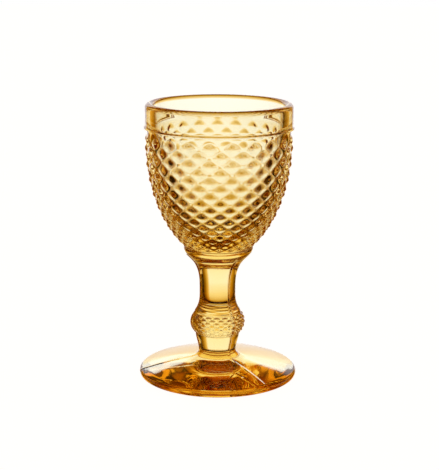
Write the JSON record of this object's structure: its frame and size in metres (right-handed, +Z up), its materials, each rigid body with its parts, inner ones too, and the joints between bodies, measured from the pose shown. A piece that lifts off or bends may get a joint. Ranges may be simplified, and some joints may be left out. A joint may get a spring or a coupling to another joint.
{
  "type": "cordial glass",
  "caption": "Small pressed glass goblet in amber: a diamond-point bowl with a plain rim band, on a knopped stem and a broad round foot.",
  "frame": {"origin": "middle of the ring under the foot that the glass rests on, on the table", "axes": "+Z up along the axis of the glass, from the foot to the lip; -Y towards the viewer in the picture, +X to the viewer's right"},
  "size_m": [0.0622, 0.0622, 0.108],
  "materials": {
    "amber_glass": "pressed and fire-polished, clear amber, soft-edged relief"
  },
  "bodies": {
    "root": {"foot": "amber_glass", "lower_stem": "amber_glass", "knop": "amber_glass", "upper_stem": "amber_glass", "collar": "amber_glass", "bowl": "amber_glass"}
  },
  "joints": []
}
